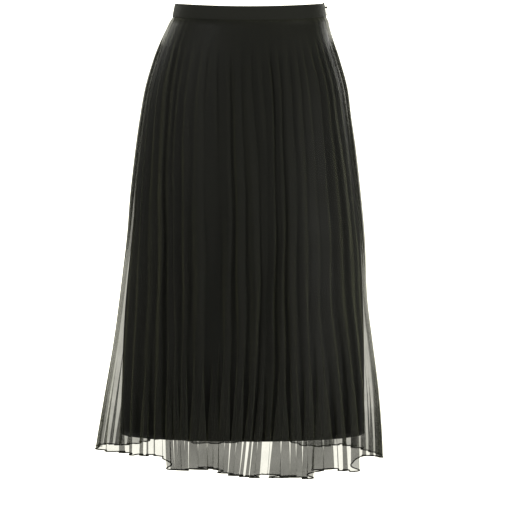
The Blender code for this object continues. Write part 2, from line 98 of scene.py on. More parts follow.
# One row for each valley between two pleats on the front, from the right side seam to the left one.
# middle, hem: the valley's degrees from centre front at MIDDLE_OF_DROP, just below half way, and at the hem
# share_middle, share_hem: the share of the way in to the lining that the valley reaches there
# level: how far below the origin the hem of the next pleat hangs, in mm
# curl: how far the next pleat's sides fold behind it near the hem: 0 is open, 5 laps it over the one beside
# sunk: the share of its room that the next pleat's ridge falls in half way down, where a few hang back
Fold = namedtuple("Fold", "middle hem share_middle share_hem level curl sunk")
FRONT_FOLDS = [
    Fold(-90.0, -90.0, 0.75, 0.55, 723.0, 0.2, 0.0),
    Fold(-80.5, -72.5, 0.70, 0.70, 722.0, 0.2, 0.0),
    Fold(-71.5, -58.5, 0.80, 0.80, 721.0, 0.6, 0.0),
    Fold(-62.6, -51.2, 0.60, 0.55, 723.5, 1.0, 0.0),
    Fold(-54.7, -44.8, 0.85, 0.75, 722.5, 2.6, 0.45),
    Fold(-47.9, -37.8, 0.75, 0.65, 721.5, 1.6, 0.0),
    Fold(-41.0, -30.2, 1.00, 1.00, 742.0, 5.0, 0.5),
    Fold(-36.7, -26.9, 0.60, 0.20, 742.0, 4.8, 0.0),
    Fold(-32.4, -24.2, 0.65, 0.20, 742.0, 5.0, 0.0),
    Fold(-26.8, -21.5, 0.80, 0.40, 740.0, 5.0, 0.0),
    Fold(-19.8, -14.7, 0.95, 1.00, 738.6, 5.0, 0.8),
    Fold(-12.8, -10.8, 0.80, 0.55, 745.0, 5.0, 0.0),
    Fold(-6.0, -7.4, 0.85, 0.50, 748.5, 5.0, 0.0),
    Fold(0.0, -3.7, 0.75, 0.60, 750.5, 3.5, 0.0),
    Fold(5.3, 0.2, 0.85, 0.75, 752.0, 5.0, 0.7),
    Fold(9.3, 4.1, 0.65, 0.65, 747.0, 1.3, 0.2),
    Fold(13.4, 8.4, 0.80, 0.80, 752.3, 5.0, 0.0),
    Fold(18.1, 16.9, 0.85, 0.85, 752.6, 5.0, 0.0),
    Fold(24.3, 21.9, 0.70, 0.45, 755.5, 5.0, 0.0),
    Fold(30.8, 26.9, 1.00, 1.00, 742.2, 5.0, 0.55),
    Fold(37.2, 37.6, 0.85, 0.80, 746.5, 2.2, 0.1),
    Fold(45.4, 47.0, 0.75, 0.90, 750.0, 3.4, 0.0),
    Fold(55.2, 55.0, 0.80, 0.85, 727.0, 1.0, 0.0),
    Fold(64.2, 61.5, 0.75, 0.70, 729.0, 0.6, 0.45),
    Fold(70.4, 67.6, 0.70, 0.75, 731.0, 0.3, 0.0),
    Fold(75.7, 73.4, 0.80, 0.70, 734.0, 0.3, 0.0),
    Fold(80.7, 78.9, 0.70, 0.75, 737.0, 0.3, 0.3),
    Fold(85.5, 84.5, 0.75, 0.65, 738.6, 0.3, 0.0),
    Fold(90.0, 90.0, 0.75, 0.60, 738.6, 0.3, 0.0),
]
# The back's valleys: hem levels in mm, their unevenness in degrees, and their mean share, curl and sink
BACK_HEM_RIGHT = 722.0
BACK_HEM_LEFT = 737.0
BACK_HEM_WAVE = 6.0
BACK_DRIFT_MIDDLE = 1.3
BACK_DRIFT_HEM = 2.1
BACK_SHARE = 0.74
BACK_SHARE_WAVE = 0.12
BACK_SHARE_LESS_AT_HEM = 0.06
BACK_CURL = 1.7
BACK_CURL_WAVE = 0.7
BACK_SINK = 0.5
BACK_SINK_ABOVE = 0.35

# How near to the slip's line the deepest valleys may come
SLIP_CLEARANCE = 1.2 * MM

# Where a name ends in COMES or GOES, its two values are the shares of the way down between which that effect
# grows or fades

# Beside the side seams the pleats near the hem lose a share of their depth: all of that share within the
# first angle from a seam, and none of it past the second
SEAM_CALM = (12.0, 38.0)
CALMED = 0.64
CALM_COMES = (0.46, 0.60)

# How finely the cloth is drawn
STEPS_PER_PLEAT = 16
SKIRT_ROWS = 150
LINING_STEPS = 110
LINING_ROWS = 64
TURN_UP_ROWS = 3
BAND_STEPS = 120
ROLL_SIDES = 6
STITCH_SIDES = 5
WINDING_SIDES = 4
PIN_SIDES = 16
WINDING_STEPS = 6
COIL_STEPS = 10
EYE_SEGMENTS = 28
FLOOR_SEGMENTS = 96

# The pleats are pressed flat under the band and open further down, sooner at the sides
PRESSED_SHARE = 0.22
PRESSED_UNTIL = 22.0 * MM
OPEN_FROM = 90.0 * MM
SOONER_AT_SIDES = 36.0 * MM

# Above the middle the valleys go in by this much more than the table says, each of them unevenly
DEEPER = 1.25
UNEVEN_DEPTH = 0.30
UNEVEN_FADES = 0.35

# Crisp creases above turn into soft waves at the hem; ridges lean, sink in places and wander, as valleys do
SOFT_FROM = 0.42
CREASE_SHARE = 0.55
CREASE_SHARPNESS = 0.85
PLEAT_LEAN = 0.22
LEAN_COMES = (0.03, 0.15)
RIDGE_WANDER = 0.05
RIDGE_WANDER_COMES = (0.1, 0.5)
RIDGE_SINK = 0.12
RIDGE_SINK_COMES = (0.08, 0.4)
SUNK_COMES = (0.12, 0.40)
SUNK_GOES = (0.75, 0.97)
VALLEY_WANDER = 0.10
VALLEY_WANDER_COMES = (0.0, 0.10)
VALLEY_WANDER_GOES = (0.70, 0.95)

# Lower down all the pleats take up less of their room, and a part of it comes back at the hem
SHALLOW = 0.42
SHALLOW_COMES = (0.60, 0.78)
SHALLOW_BACK = 0.4
SHALLOW_GOES = (0.84, 0.97)

# Near the hem the folds stand square to the front within the first angle from the middle and less so up to
# the second, and one side of each pleat stands out by a share of its room, so its edge laps the next pleat
SQUARE_FOLDS = (34.0, 58.0)
SHINGLE = 0.08

HEM_ROLL_RADIUS = 1.0 * MM

# The slip hangs a little inside the lining's line, rippled near its hem, which is turned up inside
SLIP_SET_IN = 0.6 * MM
SLIP_RIPPLE = 0.9 * MM
TURN_UP_GAP = 1.0 * MM
LINING_TURN_UP = 12.0 * MM

# The seam allowances inside the band: how far inside the skirt's line, and the height from the band's middle
CHIFFON_TUCK = [(1.9 * MM, -5.0 * MM), (0.7 * MM, -11.3 * MM)]
SLIP_TUCK = [(2.6 * MM, -5.0 * MM), (1.9 * MM, -11.2 * MM)]

# Zip, as in the solids; the two coils mesh along the seam
ZIP_TOP = 9.3 * MM
ZIP_DROP = 178.0 * MM
ZIP_HEIGHTS_IN_BAND = (ZIP_TOP, 6.0 * MM, 2.0 * MM, -2.0 * MM, -6.0 * MM)
ZIP_STEP = 4.0 * MM
TAPE_GAP = 0.5 * MM
TAPE_HALF = 11.0 * MM
TAPE_COLUMNS = (0.8 * MM, 3.5 * MM, 6.0 * MM, 8.5 * MM, TAPE_HALF)
TAPE_STITCHES_AT = (3.2 * MM, 9.0 * MM)
TAPE_STITCH_STAND = 0.25 * MM
COIL_PITCH = 1.25 * MM
COIL_RADIUS = 0.26 * MM
COIL_REACH = (-0.35 * MM, 2.0 * MM)
COIL_STAND_OFF = 0.5 * MM
COIL_HALF_DEPTH = 0.6 * MM
SLIDER_BOTTOM = 0.6 * MM
SLIDER_TOP = 8.2 * MM
SLIDER_HALF = 2.9 * MM
SLIDER_DEPTH = 2.6 * MM
WING_THICKNESS = 0.9 * MM
WING_EDGE = 0.25 * MM
CORE_HALF = 0.7 * MM
CORE_RISE = 1.5 * MM
CORE_EDGE = 0.15 * MM
NECK_HALF = 0.4 * MM
NECK_OVERLAP = 0.2 * MM
NECK_EDGE = 0.1 * MM
HEAD_HALF = 1.9 * MM
HEAD_RISE = 1.3 * MM
HEAD_DEPTH = 0.4 * MM
HEAD_EDGE = 0.12 * MM
LUG_THICKNESS = 0.7 * MM
LUG_OVERLAP = 0.1 * MM
LUG_EDGE = 0.22 * MM
BLOCK_EDGE_STEPS = 2
PIN_RADIUS = 0.4 * MM
PIN_WAIST = 0.5 * MM
PIN_HEIGHT = 5.2 * MM
PIN_STAND_OFF = 1.8 * MM
LUG_PAST_PIN = 0.7 * MM
EYE_INNER = 0.7 * MM
EYE_OUTER = 1.1 * MM
EYE_HALF = 0.8 * MM
EYE_EDGE = 0.1 * MM
# The eye's cross-section: its radius, and its half-width as a share of the eye's
EYE_SECTION = [
    (EYE_INNER, -0.6), (EYE_INNER + EYE_EDGE, -0.9), (EYE_OUTER - EYE_EDGE, -1.0), (EYE_OUTER, -0.8),
    (EYE_OUTER, 0.8), (EYE_OUTER - EYE_EDGE, 1.0), (EYE_INNER + EYE_EDGE, 0.9), (EYE_INNER, 0.6),
]
PULL_THICKNESS = 0.9 * MM
PULL_LEAN = 1.5
# The tab's outline from the eye down: half-width and height under the pin, in mm
PULL_OUTLINE = [(0.8, -0.75), (0.8, -2.4), (1.0, -3.0), (1.6, -3.6), (1.9, -4.3), (2.0, -5.2), (2.0, -12.0),
                (1.8, -12.8), (1.3, -13.3), (0.6, -13.5)]
# Across the tab from its rim to the sunk middle: the share of the outline, and the share of its thickness
PULL_STEPS = [(1.0, 0.30), (0.97, 0.46), (0.90, 0.50), (0.72, 0.50), (0.66, 0.36), (0.3, 0.34)]
PULL_MIDDLE_DROP = 1.0 * MM

# Sewing: stitches are short raised threads; the rolled hem is bound by one fine thread wound round it
THREAD_RADIUS = 0.14 * MM
STITCH_LENGTH = 2.4 * MM
STITCH_GAP = 0.5 * MM
# A stitch's arch and how deep its ends are bedded, both in thread radii
STITCH_ARCH = 4.5
STITCH_BEDDED = 0.3
HEM_THREAD_PITCH = 2.2 * MM
SEAM_FLAP = 6.0 * MM
SEAM_FLAP_STEPS = (0.1, 0.5, 1.0)
SEAM_FLAP_RISE = 0.3 * MM

# The band's cross-section, from the inner face's lower edge over the top to the outer one, in mm:
# how far it stands out from the band's own line, and its height from the band's middle
BAND_STRIP = [
    (-2.3, -11.3), (-2.4, -6.0), (-2.4, 0.0), (-2.4, 6.0), (-2.3, 9.5), (-2.0, 10.9), (-1.2, 11.5),
    (-0.5, 11.1), (-0.1, 9.8), (0.2, 6.5), (0.4, 2.0), (0.45, -3.0), (0.4, -7.5), (0.15, -10.2),
    (-0.3, -11.4),
]
BAND_STANDS_OUT = 0.4 * MM
# The band puckers at the waist seam and waves a little all over, in this many half waves
PUCKER = 0.18 * MM
PUCKER_WAVES = 61
BAND_WAVE = 0.15 * MM
BAND_WAVES = 7
PUCKER_LIMIT = 0.2 * MM
# At the zip the band's ends leave a gap, and the back's end stands a step higher, over these degrees
CLOSURE_GAP = 1.4 * MM
CLOSURE_STEP = 2.0 * MM
CLOSURE_STEP_ANGLE = 9.0

# The camera: the photograph's viewing angle, level, a little below the middle of the skirt
CAMERA_PLACE = (0.009, -3.2, -0.405)
CAMERA_LENS = 136.4
FLOOR_LEVEL = -1.16
FLOOR_RADIUS = 2.2

BACKGROUND = 2.1
BACKGROUND_COLOUR = (1.0, 0.985, 0.87, 1.0)
AMBIENT = 0.15
LAMP_COLOUR = (1.0, 1.0, 0.96)
Lamp = namedtuple("Lamp", "name place aim size watts")
LAMPS = [
    Lamp("key", (-1.3, -1.1, 0.80), (0.0, 0.0, -0.10), 0.6, 19.5),
    Lamp("fill", (1.60, -0.9, -0.15), (0.0, 0.0, -0.50), 0.5, 19.5),
    Lamp("back left", (-1.2, 1.25, 0.70), (0.0, 0.0, -0.25), 0.8, 18.0),
    Lamp("back right", (1.1, 1.4, 0.45), (0.0, 0.0, -0.30), 0.8, 26.0),
]

# Finishes: the noise that makes cloth uneven, its bump and gloss, and the colours of metal and floor
DRIFT_SCALE = 22.0
NOISE_DETAIL = 2.0
WEAVE_BUMP = 0.15 * MM
CLOTH_GLOSS = 0.15
CLOTH_ROUGHNESS_RANGE = 0.2
METAL_GRAIN = 900.0
METAL_ROUGHNESS = (0.2, 0.3)
METALLIC = 0.9
LACQUER = (0.020, 0.020, 0.020, 1.0)
RUBBED_METAL = (0.060, 0.060, 0.058, 1.0)
FLOOR_GRAIN = 40.0
FLOOR_ROUGHNESS = 0.8
FLOOR_DARK = (0.80, 0.80, 0.79, 1.0)
FLOOR_LIGHT = (0.84, 0.84, 0.83, 1.0)


def column(rows, name):
    """A section table's drops and one of its columns, in metres."""
    return [row.drop * MM for row in rows], [getattr(row, name) * MM for row in rows]


SHAPES = {
    "skirt": {name: column(SKIRT_SECTIONS, name) for name in ("right", "left", "front", "back")},
    "lining": {name: column(LINING_SECTIONS, name) for name in ("right", "left", "front", "back")},
}


def smooth_value(drops, values, drop):
    """A column of a section table at any drop, on a smooth curve through its rows."""
    last = len(drops) - 1
    drop = min(max(drop, drops[0]), drops[last])
    i = min(bisect_right(drops, drop) - 1, last - 1)
    before, after = max(i - 1, 0), min(i + 2, last)
    slope_here = (values[i + 1] - values[before]) / (drops[i + 1] - drops[before])
    slope_next = (values[after] - values[i]) / (drops[after] - drops[i])
    span = drops[i + 1] - drops[i]
    t = (drop - drops[i]) / span
    return ((2 * t**3 - 3 * t**2 + 1) * values[i] + (t**3 - 2 * t**2 + t) * span * slope_here
            + (3 * t**2 - 2 * t**3) * values[i + 1] + (t**3 - t**2) * span * slope_next)


def reach(shape, angle, drop):
    """The two half-widths of the ring at a drop, for the quarter that the angle lies in."""
    side = "left" if math.sin(angle) >= 0 else "right"
    face = "front" if math.cos(angle) >= 0 else "back"
    return smooth_value(*SHAPES[shape][side], drop), smooth_value(*SHAPES[shape][face], drop)


def ring_point(shape, angle, drop):
    """The point of the ring at an angle and a drop."""
    wide, deep = reach(shape, angle, drop)
    return wide * math.sin(angle), -deep * math.cos(angle)


def ring_normal(shape, angle, drop):
    """The level direction straight out of the ring at an angle and a drop."""
    wide, deep = reach(shape, angle, drop)
    x, y = math.sin(angle) / wide, -math.cos(angle) / deep
    length = math.hypot(x, y)
    return x / length, y / length


def ease(low, high, value):
    """0 below low, 1 above high, and a smooth step between."""
    t = min(max((value - low) / (high - low), 0.0), 1.0)
    return t * t * (3 - 2 * t)


def waist_dip(angle):
    """How far the waistline lies below the origin: low at the front, a little raised at the back."""
    c = math.cos(angle)
    return (FRONT_DIP + BACK_RISE) / 2 * c + (FRONT_DIP - BACK_RISE) / 2 * c * c


def under_band(angle):
    """How far below the origin the cloth starts, just under the band."""
    return BAND_HEIGHT / 2 + SEAM_GAP + waist_dip(angle)


def back_folds():
    """The back's valleys, from the left side seam round to the right one, uneven in the same measure."""
    rows = []
    for i in range(PLEATS + 1):
        t = i / PLEATS
        calm = math.sin(math.pi * t)
        even = 90.0 + 180.0 * t
        drift = math.sin(1.9 * i + 0.7) + 0.6 * math.sin(0.75 * i + 2.0)
        share = BACK_SHARE + BACK_SHARE_WAVE * (math.sin(2.7 * i) + math.sin(1.3 * i + 1.0))
        wave = BACK_HEM_WAVE * calm * math.sin(0.9 * i)
        level = BACK_HEM_LEFT + (BACK_HEM_RIGHT - BACK_HEM_LEFT) * t + wave
        curl = BACK_CURL + BACK_CURL_WAVE * math.sin(1.1 * i)
        sunk = BACK_SINK * max(0.0, math.sin(1.15 * i + 0.3) - BACK_SINK_ABOVE)
        rows.append(Fold(even + BACK_DRIFT_MIDDLE * calm * drift, even + BACK_DRIFT_HEM * calm * drift,
                         share, share - BACK_SHARE_LESS_AT_HEM, level, curl, sunk))
    return rows


def level_near(folds, i, t):
    """The hem's height between valley i and the next, in metres below the origin, without steps."""
    last = len(folds) - 2
    own = folds[i].level
    before = folds[max(i - 1, 0)].level
    after = folds[min(i + 1, last)].level
    if t < 0.5:
        other, away = before, t
    else:
        other, away = after, 1.0 - t
    blend = 0.5 * (1.0 - math.sin(math.pi * away))
    return (own + (other - own) * blend) * MM


def valley_angle(folds, first_angle, i, along):
    """The angle of valley i a share of the way down, on a curve through waist, middle and hem."""
    waist = first_angle + math.pi * i / PLEATS
    middle, hem = math.radians(folds[i].middle), math.radians(folds[i].hem)
    m = MIDDLE_OF_DROP
    return (waist * (along - m) * (along - 1) / m
            + middle * along * (along - 1) / (m * (m - 1))
            + hem * along * (along - m) / (1 - m))


def valley_share(fold, along, drop):
    """The share of the room that a valley takes up: little under the band, then as the table says."""
    open_from = OPEN_FROM - SOONER_AT_SIDES * math.sin(math.radians(fold.middle)) ** 2
    pressed = PRESSED_SHARE + (1 - PRESSED_SHARE) * ease(PRESSED_UNTIL, open_from, drop)
    if along < MIDDLE_OF_DROP:
        fading = 1.0 - ease(UNEVEN_FADES, MIDDLE_OF_DROP, along)
        uneven = 0.5 + 0.5 * math.sin(fold.middle * 1.7 + 9.0 * along) * fading
        return min(DEEPER * fold.share_middle, 1.0) * pressed * (1.0 - UNEVEN_DEPTH * uneven)
    t = (along - MIDDLE_OF_DROP) / (1 - MIDDLE_OF_DROP)
    middle = min(DEEPER * fold.share_middle, 1.0) * (1.0 - 0.5 * UNEVEN_DEPTH)
    return middle + (fold.share_hem - middle) * t


def pleat_room(angle, drop):
    """How far a valley may go in here before it comes too near to the slip."""
    outer = ring_point("skirt", angle, drop)
    inner = ring_point("lining", angle, drop)
    normal = ring_normal("skirt", angle, drop)
    between = (outer[0] - inner[0]) * normal[0] + (outer[1] - inner[1]) * normal[1]
    return max(between - SLIP_CLEARANCE, 0.0)


def leaning_out(angle, drop, soft):
    """The way out of the skirt; near the hem it turns straight forward at the front, and back at the back."""
    x, y = ring_normal("skirt", angle, drop)
    from_middle = math.asin(min(abs(math.sin(angle)), 1.0))
    squared = soft * (1.0 - ease(*map(math.radians, SQUARE_FOLDS), from_middle))
    x, y = x * (1.0 - squared), y * (1.0 - squared) + math.copysign(squared, y)
    length = math.hypot(x, y)
    return x / length, y / length


def calm_near_seams(angle, along):
    """1 where the pleats stand as pressed; near the side seams the hanging cloth opens out flatter."""
    from_seam = math.asin(min(abs(math.cos(angle)), 1.0))
    beside = 1.0 - ease(*map(math.radians, SEAM_CALM), from_seam)
    return 1.0 - CALMED * beside * ease(*CALM_COMES, along)


def wandering_valley(folds, first_angle, i, along):
    """A valley's angle with its small natural wander, which dies out at the band, the hem and the seams."""
    if i in (0, PLEATS):
        return valley_angle(folds, first_angle, i, along)
    sway = 0.6 * math.sin(2.1 * i + 7.0 * along) + 0.4 * math.sin(1.3 * i + 23.0 * along + 1.0)
    fade = ease(*VALLEY_WANDER_COMES, along) * (1.0 - ease(*VALLEY_WANDER_GOES, along))
    return valley_angle(folds, first_angle, i, along) + math.pi / PLEATS * VALLEY_WANDER * fade * sway


def folded_across(curl, i, t, along, soft):
    """Where the cloth at t stands across its pleat: ridges lean, and near the hem the sides fold behind."""
    across = t + curl * soft**3 * math.sin(4 * math.pi * t) / (4 * math.pi)
    lean = PLEAT_LEAN * math.sin(1.3 * i + 0.5 + 2.0 * along) * (1 - soft) * ease(*LEAN_COMES, along)
    wander = RIDGE_WANDER * math.sin(2.3 * i + 5.0 * along) * ease(*RIDGE_WANDER_COMES, along)
    return across + (lean + wander) * math.sin(math.pi * t) ** 2


def pleat_depth(folds, i, t, along, drop, soft):
    """How far in the cloth at t lies, as a share of its room: sharp creases above, soft waves at the hem."""
    share = (1 - t) * valley_share(folds[i], along, drop) + t * valley_share(folds[i + 1], along, drop)
    ridge = math.sin(math.pi * t)
    crease = CREASE_SHARE * (1.0 - ridge) ** CREASE_SHARPNESS + (1 - CREASE_SHARE) * abs(1 - 2 * t)
    wave = 0.5 * (1.0 + math.cos(2 * math.pi * t))
    uneven = 0.5 + 0.5 * math.sin(1.7 * i + 2.6 * along + 0.4)
    sink = RIDGE_SINK * uneven * ease(*RIDGE_SINK_COMES, along)
    sink += folds[i].sunk * ease(*SUNK_COMES, along) * (1.0 - ease(*SUNK_GOES, along))
    shingle = SHINGLE * soft**3 * math.sin(2 * math.pi * t)
    return share * ((1 - soft) * crease + soft * wave + sink * ridge**2 + shingle)


def room_taken(along):
    """The share of their room that all the pleats take up."""
    return 1.0 - SHALLOW * ease(*SHALLOW_COMES, along) * (1.0 - SHALLOW_BACK * ease(*SHALLOW_GOES, along))


def pleat_point(folds, first_angle, i, t, along):
    """One point of the pleated cloth: t is the share of the way from valley i to the next."""
    soft = ease(SOFT_FROM, 1.0, along)
    curl = folds[i].curl * calm_near_seams(valley_angle(folds, first_angle, i, along), along)
    low = wandering_valley(folds, first_angle, i, along)
    high = wandering_valley(folds, first_angle, i + 1, along)
    angle = low + (high - low) * folded_across(curl, i, t, along, soft)
    hem = level_near(folds, i, t)
    top = under_band(angle)
    height = -(top + (hem - top) * along)
    drop = along * (hem - BAND_HEIGHT / 2)
    depth = pleat_depth(folds, i, t, along, drop, soft) * room_taken(along)
    inward = calm_near_seams(angle, along) * depth * pleat_room(angle, drop)
    x, y = ring_point("skirt", angle, drop)
    outward = leaning_out(angle, drop, soft**3)
    return x - outward[0] * inward, y - outward[1] * inward, height


def tucked_in(rows, first_angle, tuck):
    """The rows with a seam allowance before them, which stands up inside the band's fold."""
    columns = len(rows[0]) - 1
    allowance = []
    for inward, height in tuck:
        row = []
        for k in range(columns + 1):
            angle = first_angle + math.pi * k / columns
            wide, deep = reach("skirt", angle, 0.0)
            row.append(((wide - inward) * math.sin(angle), -(deep - inward) * math.cos(angle),
                        height - waist_dip(angle)))
        allowance.append(row)
    return allowance + rows


def closed_at_seams(rows):
    """The rows with both ends brought to the side seams, where the panels are sewn together."""
    for row in rows:
        for end in (0, -1):
            row[end] = (row[end][0], 0.0, row[end][2])
    return rows


def pleated_grid(folds, first_angle):
    """Rows of points from the band to the hem, each from seam to seam."""
    rows = []
    for r in range(SKIRT_ROWS + 1):
        along = r / SKIRT_ROWS
        row = []
        for i in range(PLEATS):
            for step in range(STEPS_PER_PLEAT + (i == PLEATS - 1)):
                row.append(pleat_point(folds, first_angle, i, step / STEPS_PER_PLEAT, along))
        rows.append(row)
    return closed_at_seams(tucked_in(rows, first_angle, CHIFFON_TUCK))


def lining_grid(first_angle):
    """Rows of the slip from the band to its level hem, which is turned up inside."""
    rows = []
    fractions = [r / LINING_ROWS for r in range(LINING_ROWS + 1)]
    turned = [1.0 - LINING_TURN_UP / LINING_DROP * k / TURN_UP_ROWS for k in range(TURN_UP_ROWS + 1)]
    for number, along in enumerate(fractions + turned):
        inside = number > LINING_ROWS
        row = []
        for step in range(LINING_STEPS + 1):
            t = step / LINING_STEPS
            angle = first_angle + math.pi * t
            top = under_band(angle)
            height = -(top + (LINING_HEM - top) * along)
            x, y = ring_point("lining", angle, along * LINING_DROP)
            normal = ring_normal("lining", angle, along * LINING_DROP)
            ripple = math.sin(9 * math.pi * t + 1.0) + 0.6 * math.sin(17 * math.pi * t + 2.0 * along)
            inward = SLIP_SET_IN + TURN_UP_GAP * inside
            inward += SLIP_RIPPLE * ease(0.5, 1.0, along) * (1 + ripple / 1.6)
            row.append((x - normal[0] * inward, y - normal[1] * inward, height))
        rows.append(row)
    return closed_at_seams(tucked_in(rows, first_angle, SLIP_TUCK))


def sheet_mesh(name, rows, finish, flip=False):
    """A cloth sheet through rows of points, with its weave laid out in metres along its own length."""
    columns = len(rows[0])
    points = [p for row in rows for p in row]
    faces = []
    for r in range(len(rows) - 1):
        for c in range(columns - 1):
            a = r * columns + c
            face = (a, a + columns, a + columns + 1, a + 1)
            faces.append(face[::-1] if flip else face)
    mesh = bpy.data.meshes.new(name)
    mesh.from_pydata(points, [], faces)
    lengths = []
    middle = columns // 2
    down = 0.0
    for r, row in enumerate(rows):
        walked = [0.0]
        for a, b in zip(row, row[1:]):
            walked.append(walked[-1] + math.dist(a, b))
        if r:
            down += math.dist(rows[r - 1][middle], row[middle])
        lengths.append([(w - walked[middle], -down) for w in walked])
    flat = [uv for row in lengths for uv in row]
    layer = mesh.uv_layers.new(name="weave")
    for loop in mesh.loops:
        layer.data[loop.index].uv = flat[loop.vertex_index]
    mesh.shade_smooth()
    mesh.materials.append(finish)
    piece = bpy.data.objects.new(name, mesh)
    bpy.context.collection.objects.link(piece)
    return piece


def walk(path, spacing):
    """Points at an even spacing along a path, each with the direction of the path there."""
    found = []
    left_over = 0.0
    for a, b in zip(path, path[1:]):
        a, b = Vector(a), Vector(b)
        length = (b - a).length
        if length < 1e-9:
            continue
        ahead = (b - a) / length
        at = left_over
        while at < length:
            found.append((a + ahead * at, ahead))
            at += spacing
        left_over = at - length
    return found


# A thread's ring is turned square to its path and to one of these, along which no such path runs
UPRIGHT = Vector((0.0, 0.0, 1.0))
ASLANT = Vector((0.31, 0.17, 0.93))


def join_loops(builder, one, other):
    """Add the faces between two closed loops of as many points."""
    count = len(one)
    for k in range(count):
        after = (k + 1) % count
        builder.faces.new((one[k], one[after], other[after], other[k]))


def add_thread(builder, path, radius, sides, across=ASLANT):
    """Add a fine thread along a path, none of it parallel to across, to a mesh that is being built."""
    rings = []
    count = len(path)
    for i, point in enumerate(path):
        ahead = (Vector(path[min(i + 1, count - 1)]) - Vector(path[max(i - 1, 0)])).normalized()
        side = ahead.cross(across).normalized()
        up = side.cross(ahead)
        turns = [2 * math.pi * k / sides for k in range(sides)]
        rings.append([builder.verts.new(Vector(point) + radius * (math.cos(a) * side + math.sin(a) * up))
                      for a in turns])
    for a, b in zip(rings, rings[1:]):
        join_loops(builder, a, b)
    builder.faces.new(rings[0][::-1])
    builder.faces.new(rings[-1])


def rolled_edge(name, path, finish):
    """The narrow roll of cloth along a hem."""
    builder = bmesh.new()
    add_thread(builder, path, HEM_ROLL_RADIUS, ROLL_SIDES, UPRIGHT)
    bmesh.ops.recalc_face_normals(builder, faces=builder.faces)
    return finished_piece(name, builder, finish)


def stitch_line(name, path, outward, finish):
    """A line of machine stitches along a path; outward(point) is the way each stitch stands up."""
    builder = bmesh.new()
    for point, ahead in walk(path, STITCH_LENGTH + STITCH_GAP):
        out = Vector(outward(point))
        arc = []
        for t in (0.0, 0.25, 0.5, 0.75, 1.0):
            rise = THREAD_RADIUS * (STITCH_ARCH * t * (1 - t) - STITCH_BEDDED)
            arc.append(point + ahead * STITCH_LENGTH * t + out * rise)
        add_thread(builder, arc, THREAD_RADIUS, STITCH_SIDES)
    return finished_piece(name, builder, finish)


def wound_thread(name, path, radius, finish):
    """One fine thread wound round a rolled edge from end to end."""
    builder = bmesh.new()
    coil = []
    for number, (point, ahead) in enumerate(walk(path, HEM_THREAD_PITCH / WINDING_STEPS)):
        side = ahead.cross(UPRIGHT).normalized()
        turn = 2 * math.pi * number / WINDING_STEPS
        coil.append(point + radius * (math.cos(turn) * side + math.sin(turn) * side.cross(ahead)))
    add_thread(builder, coil, THREAD_RADIUS, WINDING_SIDES)
    return finished_piece(name, builder, finish)


def away_from_axis(point):
    """The level direction from the skirt's upright axis out through a point."""
    length = math.hypot(point[0], point[1])
    return point[0] / length, point[1] / length, 0.0


def finished_piece(name, builder, finish):
    """Turn finished bmesh data into a smooth object with a material."""
    mesh = bpy.data.meshes.new(name)
    builder.to_mesh(mesh)
    builder.free()
    mesh.shade_smooth()
    mesh.materials.append(finish)
    piece = bpy.data.objects.new(name, mesh)
    bpy.context.collection.objects.link(piece)
    return piece


def add_camera():
    """The camera, level and looking straight at the front."""
    camera = bpy.data.cameras.new("camera")
    camera.lens = CAMERA_LENS
    camera.sensor_width = 36.0
    camera.clip_end = 50.0
    holder = bpy.data.objects.new("camera", camera)
    holder.location = CAMERA_PLACE
    holder.rotation_euler = (math.pi / 2, 0.0, 0.0)
    bpy.context.collection.objects.link(holder)
    bpy.context.scene.camera = holder


def socket(group, name, kind, inward, value=None):
    """Add a named input or output to a node group."""
    made = group.interface.new_socket(name=name, in_out="INPUT" if inward else "OUTPUT", socket_type=kind)
    if value is not None:
        made.default_value = value
    return made


def math_node(tree, operation, a, b=None, c=None):
    """A Math node fed by sockets or plain numbers, and its result."""
    node = tree.nodes.new("ShaderNodeMath")
    node.operation = operation
    for place, value in enumerate((a, b, c)):
        if value is None:
            continue
        if isinstance(value, (int, float)):
            node.inputs[place].default_value = value
        else:
            tree.links.new(value, node.inputs[place])
    return node.outputs[0]


def woven_group():
    """Plain weave: threads each way as height, and a slow unevenness that varies colour and cover."""
    group = bpy.data.node_groups.new("plain weave", "ShaderNodeTree")
    socket(group, "Threads per metre", "NodeSocketFloat", True, 1600.0)
    socket(group, "Uneven size", "NodeSocketFloat", True, 900.0)
    socket(group, "Height", "NodeSocketFloat", False)
    socket(group, "Uneven", "NodeSocketFloat", False)
    socket(group, "Drift", "NodeSocketFloat", False)
    start = group.nodes.new("NodeGroupInput")
    end = group.nodes.new("NodeGroupOutput")
    place = group.nodes.new("ShaderNodeUVMap")
    place.uv_map = "weave"
    parts = group.nodes.new("ShaderNodeSeparateXYZ")
    group.links.new(place.outputs["UV"], parts.inputs[0])
    waves = []
    for axis in ("X", "Y"):
        turns = math_node(group, "MULTIPLY", parts.outputs[axis], start.outputs["Threads per metre"])
        waves.append(math_node(group, "SINE", math_node(group, "MULTIPLY", turns, 2 * math.pi)))
    height = math_node(group, "MULTIPLY_ADD", math_node(group, "MULTIPLY", waves[0], waves[1]), 0.5, 0.5)
    fine = group.nodes.new("ShaderNodeTexNoise")
    fine.inputs["Detail"].default_value = NOISE_DETAIL
    group.links.new(place.outputs["UV"], fine.inputs["Vector"])
    group.links.new(start.outputs["Uneven size"], fine.inputs["Scale"])
    slow = group.nodes.new("ShaderNodeTexNoise")
    slow.inputs["Scale"].default_value = DRIFT_SCALE
    slow.inputs["Detail"].default_value = NOISE_DETAIL
    group.links.new(place.outputs["UV"], slow.inputs["Vector"])
    group.links.new(height, end.inputs["Height"])
    group.links.new(fine.outputs[0], end.inputs["Uneven"])
    group.links.new(slow.outputs[0], end.inputs["Drift"])
    return group


